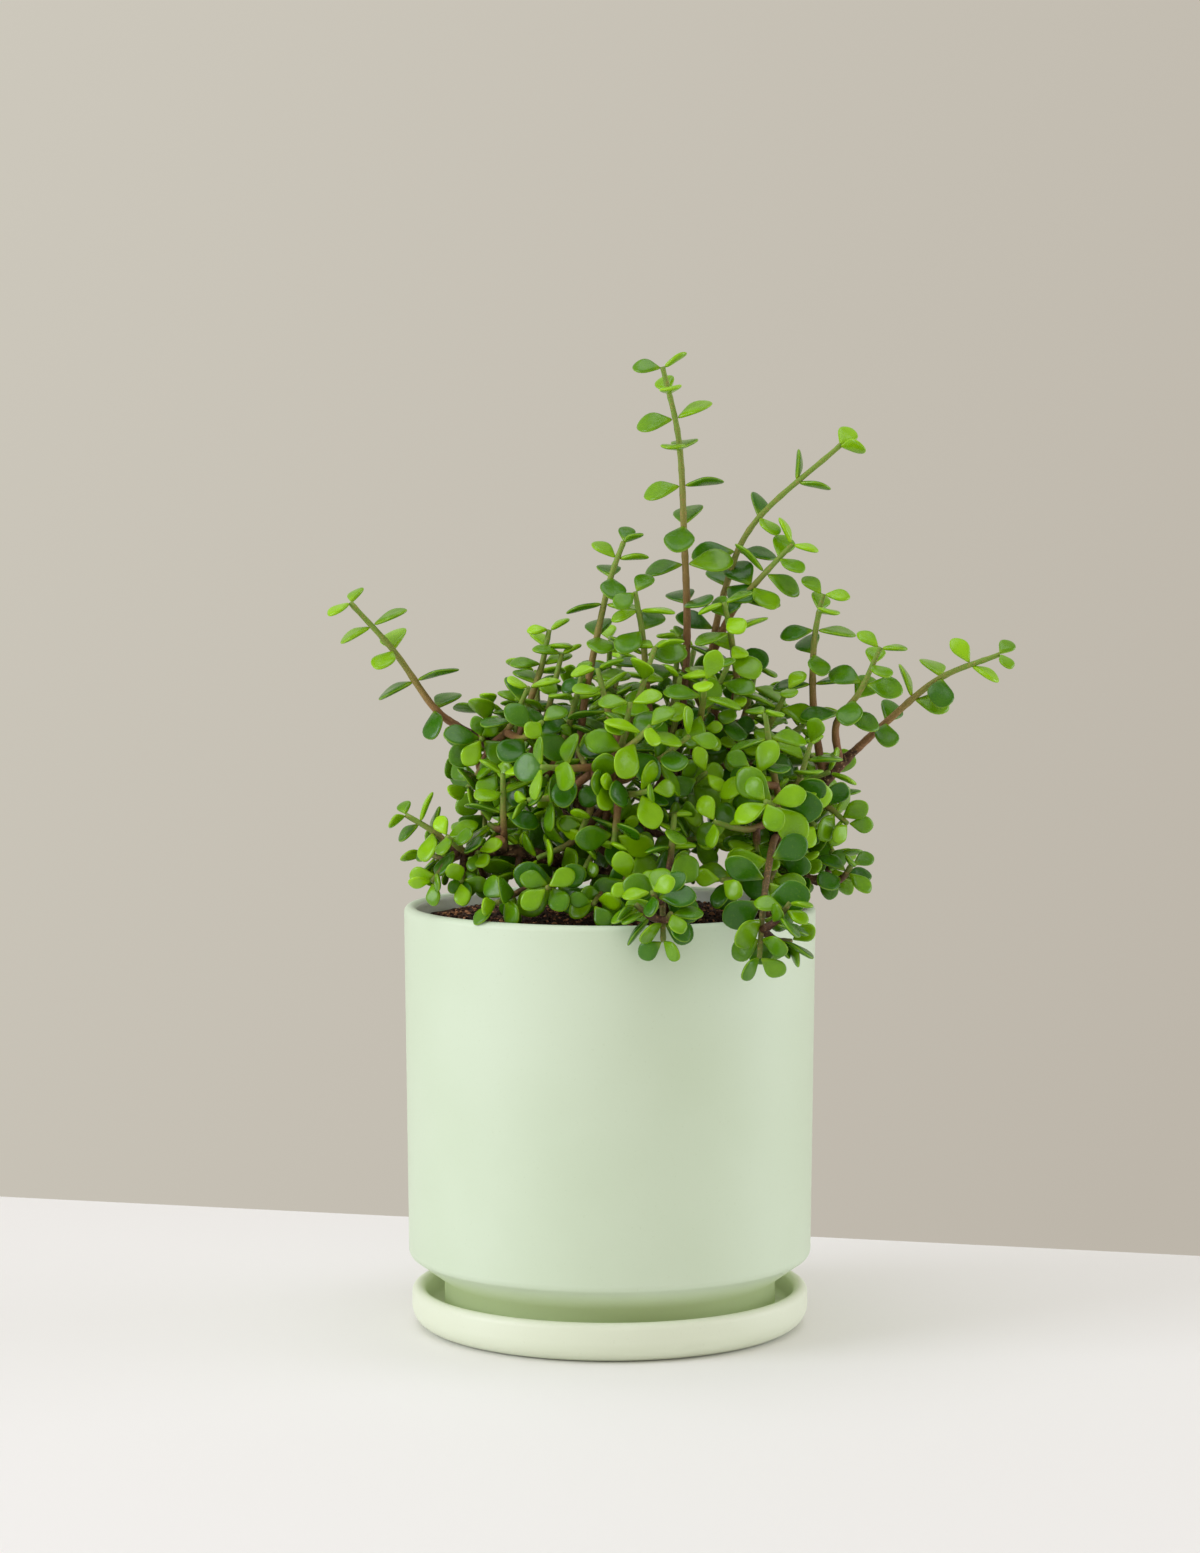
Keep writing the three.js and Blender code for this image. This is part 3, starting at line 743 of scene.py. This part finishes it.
TWIG_BASE = 1.5
TWIG_TIP = 0.9
LEAF_WIDTH = 0.8
LEAF_THICKNESS = 2.2
LEAF_NARROW = 0.24
LEAF_FULL = 0.64
LEAF_DROOP = 0.15
LEAF_CUP = 0.16
LEAF_POINT = 0.3 # how much narrower the very tip is, beyond the start of the point
POINT_START = 0.7
LIFT_MEAN = 10
LIFT_SPREAD = 50
LIFT_TIP = 50
ROLL_SPREAD = 60
TIP_SHARE = 0.62 # size of the youngest leaves beside the full-grown ones
AGEING = 1.7 # how soon along a twig, from its tip, the leaves are full-grown
CROWDING = 0.85 # below 1, the pairs stand closer together towards the tip
TIP_PLACE = 0.995
TURN_SPREAD = 24
SIZE_SPREAD = 0.2
FEWEST_PAIRS = 3
# Leaves turn to the light: the way to it, how far their faces turn and how far they lie square to it.
WINDOW = (np.array((-0.15, -0.66, 0.74)), 0.8, 0.65)
SKY = (np.array((-0.1, -0.4, 0.91)), 0.6, 0.4)
SIDE_BARE = 0.25
# What a leaf tries in turn until it clears its neighbours: more lift, turn round the stem, size.
TRIES = [
    (0, 0, 1), (14, 0, 1), (-14, 0, 1), (0, 24, 1), (0, -24, 1),
    (24, 0, 0.8), (-10, 36, 0.8), (-10, -36, 0.8), (34, 18, 0.66), (34, -18, 0.66),
]
CLOSE = 0.1 # millimetres within which a point of the frame's mesh counts as the same point


class Solid:
    """The corners of one node of the frame, to tell which leaves it carries."""

    def __init__(self, node):
        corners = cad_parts[node].data.vertices
        self.tree = kdtree.KDTree(len(corners))
        for number, corner in enumerate(corners):
            self.tree.insert(corner.co / MM, number)
        self.tree.balance()

    def shares(self, points):
        """How many of the points are corners of the solid."""
        return sum(self.tree.find(Vector(p))[2] < CLOSE for p in points)

    def carried(self, options):
        """The one of these leaves that the solid carries."""
        counts = [self.shares(leaf_corners(*leaf)) for leaf in options]
        return options[counts.index(max(counts))] if max(counts) > 1 else None


def leaf_axes(way, turn, lift, roll, light):
    """The directions along a leaf, across it and out of its upper face, and out of the stem."""
    reference = np.array((0.0, 0.0, 1.0) if abs(way[1]) > 0.8 else (0.0, 1.0, 0.0))
    first = np.cross(way, reference)
    first /= np.linalg.norm(first)
    outward = first * math.cos(turn) + np.cross(way, first) * math.sin(turn)
    to_light, face_turn, level = light
    along = outward * math.cos(lift) + way * math.sin(lift)
    along -= to_light * level * along.dot(to_light)
    along /= np.linalg.norm(along)
    face = way * math.cos(lift) - outward * math.sin(lift) + to_light * face_turn
    face -= along * face.dot(along)
    face /= np.linalg.norm(face)
    face = face * math.cos(roll) + np.cross(along, face) * math.sin(roll)
    return outward, along, np.cross(face, along), face


def leaf_point(base, axes, length, share, across, height):
    """A point of a leaf. share runs from base to tip, across from side to side, height out of it."""
    _, along, sideways, face = axes
    step = min(1, share / LEAF_FULL)
    across *= LEAF_NARROW + (1 - LEAF_NARROW) * step * step * (3 - 2 * step)
    half = length * LEAF_WIDTH / 2
    bend = LEAF_CUP * half * across * across - LEAF_DROOP * length * share * share
    up = height * LEAF_THICKNESS / 2 + bend
    return base + along * share * length + sideways * across * half + face * up


def leaf_corners(base, axes, length):
    """The corners of the frame's own simple leaf, except the one inside the stem."""
    turns = [2 * math.pi * i / 7 for i in range(1, 7)]
    return [leaf_point(base, axes, length, (1 - math.cos(a)) / 2, math.sin(a), 0) for a in turns]


def leaves_of(shoot, number, light, chance, choose):
    """Where the leaves of one twig are: base, axes, length and age, from 0 at the tip to 1.

    choose picks one of the ways in which a leaf can stand, or none.
    """
    pairs, size, first_turn, bare, twigs = shoot
    path = twigs[number]
    if number:
        pairs = max(FEWEST_PAIRS, pairs - 1)
        bare = SIDE_BARE
    found = []
    for pair in range(pairs):
        share = (pair + 0.5) / pairs
        at = bare + (1 - bare) * ((pair + 1) / pairs) ** CROWDING * TIP_PLACE
        grown = TIP_SHARE + (1 - TIP_SHARE) * min(1, AGEING * (1 - share))
        turn = math.radians(first_turn + 90 * pair + TURN_SPREAD * (chance.roll() - 0.5))
        way = curve_way(path, at)
        for half in (0, math.pi):
            length = size * grown * (1 - SIZE_SPREAD / 2 + SIZE_SPREAD * chance.roll())
            lift = LIFT_MEAN + LIFT_SPREAD * (chance.roll() - 0.5) + LIFT_TIP * max(0, share - 0.5)
            roll = math.radians(ROLL_SPREAD * (chance.roll() - 0.5))
            options = []
            for more, aside, scale in TRIES:
                around = turn + half + math.radians(aside)
                axes = leaf_axes(way, around, math.radians(lift + more), roll, light)
                base = curve_point(path, at) + axes[0] * TWIG_TIP / 2
                options.append((base, axes, length * scale))
            picked = choose(options)
            if picked:
                found.append((*picked, 1 - share))
    return found


def sagging(start, end):
    middle = (start + end) / 2
    middle[2] -= CROWN_SAG * math.dist(start, end)
    return [start, middle, end]


def middle_ring(path):
    """The corners of the frame's own simple twig, halfway along it."""
    side, across = ring_axes(path, 2)[1]
    radius = (TWIG_BASE + TWIG_TIP) / 2
    return [curve_point(path, 0.5) + radius * way for way in (side, across, -side, -across)]


def wood_starts():
    """Places along the woody stems from which a shoot can grow."""
    return [
        curve_point(path, share)
        for cutting, limbs in CUTTINGS.items() if cutting != "pruned_stub"
        for path, _, _ in limbs for share in (0.5, 0.6, 0.7, 0.8, 0.9, 1)
    ]


def dome_tips(count, centre, reach, phase=0):
    """Places spread evenly over a dome, in a spiral down from its top."""
    tips = []
    for i in range(count):
        height = 1 - (1 - CROWN_LOWEST) * (i + 0.5) / count
        ring = math.sqrt(1 - height * height)
        angle = (i + phase) * math.pi * (3 - math.sqrt(5))
        direction = np.array((ring * math.cos(angle), ring * math.sin(angle), height))
        tips.append(centre + reach * direction)
    return tips


def crown_shoots():
    """The crown's shoots: each grows from the nearest wood that leaves it clear of the others."""
    starts = wood_starts()
    free = dome_tips(CROWN_TIPS, CROWN_CENTRE, CROWN_REACH)
    made = {}
    number = 0
    while len(free) > 1:
        number += 1
        tip = free.pop(0)
        free.sort(key=lambda p: math.dist(p, tip))
        second = free.pop(0)
        free.sort(key=lambda p: -p[2])
        starts.sort(key=lambda p: math.dist(p, tip))
        name = f"crown_{number:02d}"
        if "shoot_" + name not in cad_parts:
            continue
        solid = Solid("shoot_" + name)
        start = max(starts[:CROWN_STARTS], key=lambda s: solid.shares(middle_ring(sagging(s, tip))))
        main = sagging(start, tip)
        side = sagging(curve_point(main, CROWN_FORK), second)
        made[name] = (*CROWN_LEAVES, 50 * number, CROWN_BARE, [main, side])
    return made


def leaf_finish():
    """Fleshy leaf: lime when young, deep green when old, with painted shade on the low leaves, a pale rim
    and a waxy sheen.
    """
    flesh = Finish("leaf_flesh", Roughness=0.3, Specular_IOR_Level=0.36)
    age = flesh.painted("age")
    tone = flesh.painted("tone")
    height = flesh.painted("height")
    along = flesh.painted("along")
    blotches = flesh.cloud(0.005, 2)
    dots = flesh.cloud(0.0006, 2)
    level = flesh.node("SeparateXYZ", {}, {"Vector": flesh.places}, "Z")
    # Painted shade: leaves low down, below about 15 cm, are painted a riper, darker green.
    shaded = 1 - level.rising(0.14, 0.18)
    exposed = level.rising(0.25, 0.3)
    # How ripe a leaf looks: its age, tone and blotches, painted shade low down and a deeper green high
    # up.
    ripe = age * 0.6 + tone * 0.65 + blotches * 0.25 + shaded * 0.35 + exposed * 0.15 - 0.12
    green = flesh.blend(ripe.rising(0.05, 1.0), tint(150, 204, 2), tint(50, 106, 1))
    base = flesh.blend((1 - along.rising(0.02, 0.3)) * 0.4, green, tint(160, 196, 18))
    rim = flesh.blend((1 - height.size().rising(0.0, 0.4)) * 0.4, base, tint(166, 206, 22))
    under = flesh.blend((0 - height).rising(0.1, 0.6) * 0.3, rim, tint(100, 144, 16))
    flesh.set(
        Base_Color=flesh.blend(dots.rising(0.55, 0.75) * 0.1, under, tint(162, 202, 30)),
        Roughness=0.17 + blotches * 0.16,
    )
    flesh.relief(blotches * 0.8 + dots * 0.05, 0.3 * MM)
    return flesh


def twig_finish():
    """Young stem: green at the tip, ripening to a reddish tan with fine pores, and dark brown low down,
    partly older wood and partly painted shade.
    """
    skin = Finish("young_bark", Roughness=0.6, Specular_IOR_Level=0.35)
    age = skin.painted("age")
    pores = skin.cloud(0.0009, 3)
    ripe = skin.blend(age.rising(0.1, 0.8), tint(120, 150, 52), tint(146, 104, 64))
    level = skin.node("SeparateXYZ", {}, {"Vector": skin.places}, "Z")
    # Below about 18 cm stems turn dark brown: partly the older wood and partly painted shade.
    age_and_low_shade = age * 0.65 + (1 - level.rising(0.16, 0.2)) * 0.6
    old = skin.blend(age_and_low_shade.rising(0.35, 0.95), ripe, tint(78, 51, 34))
    skin.set(Base_Color=skin.blend(pores.rising(0.5, 0.7) * 0.4, old, tint(186, 140, 92)))
    skin.relief(pores, 0.2 * MM)
    return skin


def add_leaf(mesh, layers, leaf):
    """A flattened ball of a few dozen faces, drawn out, cupped and bent into a thick blade."""
    base, axes, length, age = leaf
    values = {"age": age, "tone": dice.roll()}
    for corner in bmesh.ops.create_uvsphere(mesh, u_segments=12, v_segments=6, radius=1)["verts"]:
        across, along, height = corner.co
        slab = math.copysign(abs(height) ** 0.62, height)
        share = (along + 1) / 2
        across *= 1 - LEAF_POINT * max(0, (share - POINT_START) / (1 - POINT_START)) ** 2
        corner.co = Vector(leaf_point(base, axes, length, share, across, slab)) * MM
        for name, value in {**values, "height": slab, "along": share}.items():
            corner[layers[name]] = value


def add_twig(mesh, path, age_layer):
    """A young stem, a little swollen where each pair of leaves joins it."""
    length = path_length(path)
    steps = max(8, round(length / 2))

    def radius_at(share, bearing):
        knuckle = 0.16 * math.exp(-(((share * length) % 7 - 3.5) / 0.8) ** 2)
        return TWIG_BASE + (TWIG_TIP - TWIG_BASE) * share + knuckle

    stem(mesh, path, radius_at, 8, steps, lambda share: {age_layer: 1 - share})


def leafy_pieces(name, paths, leaves):
    """The twigs of a shoot as one piece, and its leaves as another."""
    twigs = bmesh.new()
    ages = twigs.verts.layers.float.new("age")
    for path in paths:
        add_twig(twigs, path, ages)
    blades = bmesh.new()
    layers = {key: blades.verts.layers.float.new(key) for key in ("age", "tone", "height", "along")}
    for leaf in leaves:
        add_leaf(blades, layers, leaf)
    # Drawing a ball out turns it inside out, and recalculating would misjudge a few of the thin blades.
    bmesh.ops.reverse_faces(blades, faces=blades.faces[:])
    stems = finished(name + "_stem", twigs, twig_material)
    foliage = finished(name + "_leaves", blades, leaf_material)
    rounding = foliage.modifiers.new("rounding", "SUBSURF")
    rounding.levels = rounding.render_levels = 1
    for piece, slot in ((stems, "bark"), (foliage, "leaf")):
        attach(piece, "root")
    return stems, foliage


growth = Dice(20260)
leaf_material = leaf_finish()
twig_material = twig_finish()
grown_leaves = []
grown_twigs = []
for name, shoot in {**SHOOTS, **crown_shoots()}.items():
    solid = Solid("shoot_" + name)
    light = WINDOW if name in SHOOTS else SKY
    paths = shoot[4]
    leaves = []
    for number in range(len(paths)):
        leaves += leaves_of(shoot, number, light, growth, solid.carried)
    for piece in leafy_pieces("shoot_" + name, paths, leaves):
        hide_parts("shoot_" + name)
    grown_leaves += leaves
    grown_twigs += paths


# ---- Inner shoots ----------------------------------------------------------------------------------
# Shorter shoots fill the crown between the others, creep low over the potting mix and branch from the
# two shoots that hang over the rim. They carry the same leaves, which find room among those already
# there, and are gathered by side.

# Where their tips end: over domes, each given as tips, centre and reach in millimetres, and the light.
INNER_DOMES = [
    (10, np.array((54, -79, 154)), np.array((15, 8, 15)), WINDOW),
    (7, np.array((18, -84, 158)), np.array((13, 5, 10)), WINDOW),
    (12, np.array((-60, -30, 172)), np.array((15, 14, 15)), SKY),
    (8, np.array((78, -12, 172)), np.array((11, 15, 13)), SKY),
    (34, np.array((25, 0, 236)), np.array((26, 22, 50)), SKY),
    (60, CROWN_CENTRE, CROWN_REACH * 0.94, SKY),
    (60, CROWN_CENTRE, CROWN_REACH * 0.82, SKY),
    (50, CROWN_CENTRE, CROWN_REACH * 0.66, SKY),
]
PHASE_TIPS = 7 # a dome's spiral starts one step further round for every so many tips before it
HANGING = ("front_right_hanging", "front_middle_hanging")
HANGING_STARTS = (0.4, 0.55, 0.7, 0.85)
NEAREST_STARTS = 6
SIDE_EDGES = (-10, 38) # millimetres, where the left side ends and where the right one starts
FEWEST_LEAVES = 2
INNER_LEAVES = (4, 14)
INNER_BARE = 0.2
CREEPING = 20
CREEPING_REACH = (34, 60) # millimetres from the middle of the stems
CREEPING_HEIGHT = (163, 176)
LOWEST_LEAF = 155.5 # millimetres, just above the rim. Lower leaves have to hang outside the pot
POT_ROOM = POT_TOP + 1.6
LEAF_ROOM = LEAF_THICKNESS + 0.5 # millimetres from the middle of one leaf to the middle of the next
STEM_ROOM = LEAF_THICKNESS / 2 + TWIG_BASE
STEM_STEP = 1.5
AXIL = 2 # steps along a new twig for which it may still touch the leaf beneath it


class Thicket:
    """The leaves and stems that stand already, so that a new one can find room."""

    def __init__(self):
        self.leaves = []
        self.middles = np.zeros((0, 3))
        self.stems = np.zeros((0, 3))

    def leaf_places(self, leaf):
        """Points spread over a leaf's blade, its middle first."""
        points = [leaf_point(*leaf, 0.5, 0, 0)]
        for ring, count in ((0.5, 6), (1.0, 12)):
            for i in range(count):
                angle = 2 * math.pi * i / count
                share = 0.5 - 0.5 * ring * math.cos(angle)
                points.append(leaf_point(*leaf, share, ring * math.sin(angle), 0))
        return np.array(points)

    def stem_places(self, path):
        count = max(2, round(path_length(path) / STEM_STEP))
        return np.array([curve_point(path, i / count) for i in range(count + 1)])

    def add_leaf(self, leaf):
        places = self.leaf_places(leaf)
        self.leaves.append((leaf, places))
        self.middles = np.concatenate((self.middles, places[:1]))

    def add_stem(self, path):
        self.stems = np.concatenate((self.stems, self.stem_places(path)))

    def near(self, place, reach):
        distances = np.linalg.norm(self.middles - place, axis=1)
        return [self.leaves[i] for i in np.flatnonzero(distances < reach)]

    def inside(self, points, leaf, room):
        """Whether any of the points lies in the leaf, or in the room kept on either side of it."""
        base, (_, along, sideways, face), length = leaf
        offset = points - base
        share = offset @ along / length
        half = length * LEAF_WIDTH / 2
        across = offset @ sideways / half
        height = offset @ face + LEAF_DROOP * length * share ** 2 - LEAF_CUP * half * across ** 2
        return bool(np.any((np.abs(height) < room) & ((2 * share - 1) ** 2 + across ** 2 < 1.1)))

    def roomy(self, options):
        """The first of these leaves that clears the others and the stems."""
        for leaf in options:
            places = self.leaf_places(leaf)
            stems = self.stems[np.linalg.norm(self.stems - places[0], axis=1) < leaf[2]]
            low = places[places[:, 2] < LOWEST_LEAF]
            over_pot = np.any(np.hypot(low[:, 0], low[:, 1]) < POT_ROOM)
            if over_pot or self.inside(stems, leaf, STEM_ROOM):
                continue
            if not any(
                self.inside(places, other, LEAF_ROOM) or self.inside(others, leaf, LEAF_ROOM)
                for other, others in self.near(places[0], 1.15 * leaf[2])
            ):
                return leaf
        return None

    def passable(self, path):
        """Whether a twig can grow along the path and touch no leaf, once it has left its own axil."""
        places = self.stem_places(path)[AXIL:]
        near = self.near(places[len(places) // 2], path_length(path) / 2 + 10)
        return not any(self.inside(places, leaf, STEM_ROOM) for leaf, _ in near)


def creeping_tips():
    """Places low over the potting mix, in a spiral out from the stems."""
    tips = []
    for i in range(CREEPING):
        share = (i + 0.5) / CREEPING
        angle = i * math.pi * (3 - math.sqrt(5))
        reach = CREEPING_REACH[0] + (CREEPING_REACH[1] - CREEPING_REACH[0]) * math.sqrt(share)
        height = CREEPING_HEIGHT[1] - (CREEPING_HEIGHT[1] - CREEPING_HEIGHT[0]) * share
        across = CROWN_CENTRE[0] + reach * math.cos(angle)
        tips.append(np.array((across, reach * math.sin(angle), height)))
    return tips


thicket = Thicket()
for leaf in grown_leaves:
    thicket.add_leaf(leaf[:3])
for path in grown_twigs + [limb[0] for limbs in CUTTINGS.values() for limb in limbs]:
    thicket.add_stem(path)
inner_tips = [(tip, SKY) for tip in creeping_tips()]
for count, centre, reach, light in INNER_DOMES:
    inner_tips += [(tip, light) for tip in dome_tips(count, centre, reach, len(inner_tips) / PHASE_TIPS)]

inner_growth = Dice(977)
inner = {"left": ([], []), "middle": ([], []), "right": ([], [])}
wood_points = wood_starts()
for name in HANGING:
    wood_points += [curve_point(SHOOTS[name][4][0], share) for share in HANGING_STARTS]
for number, (tip, light) in enumerate(inner_tips):
    wood_points.sort(key=lambda p: math.dist(p, tip))
    ways = [sagging(start, tip) for start in wood_points[:NEAREST_STARTS]]
    path = next((way for way in ways if thicket.passable(way)), None)
    if path is None:
        continue
    shoot = (*INNER_LEAVES, 50 * number, INNER_BARE, [path])
    found = leaves_of(shoot, 0, light, inner_growth, thicket.roomy)
    if len(found) < FEWEST_LEAVES:
        continue
    side = "left" if tip[0] < SIDE_EDGES[0] else "right" if tip[0] > SIDE_EDGES[1] else "middle"
    paths, leaves = inner[side]
    paths.append(path)
    leaves.extend(found)
    thicket.add_stem(path)
    for leaf in found:
        thicket.add_leaf(leaf[:3])
for side, (paths, leaves) in inner.items():
    leafy_pieces("inner_shoots_" + side, paths, leaves)
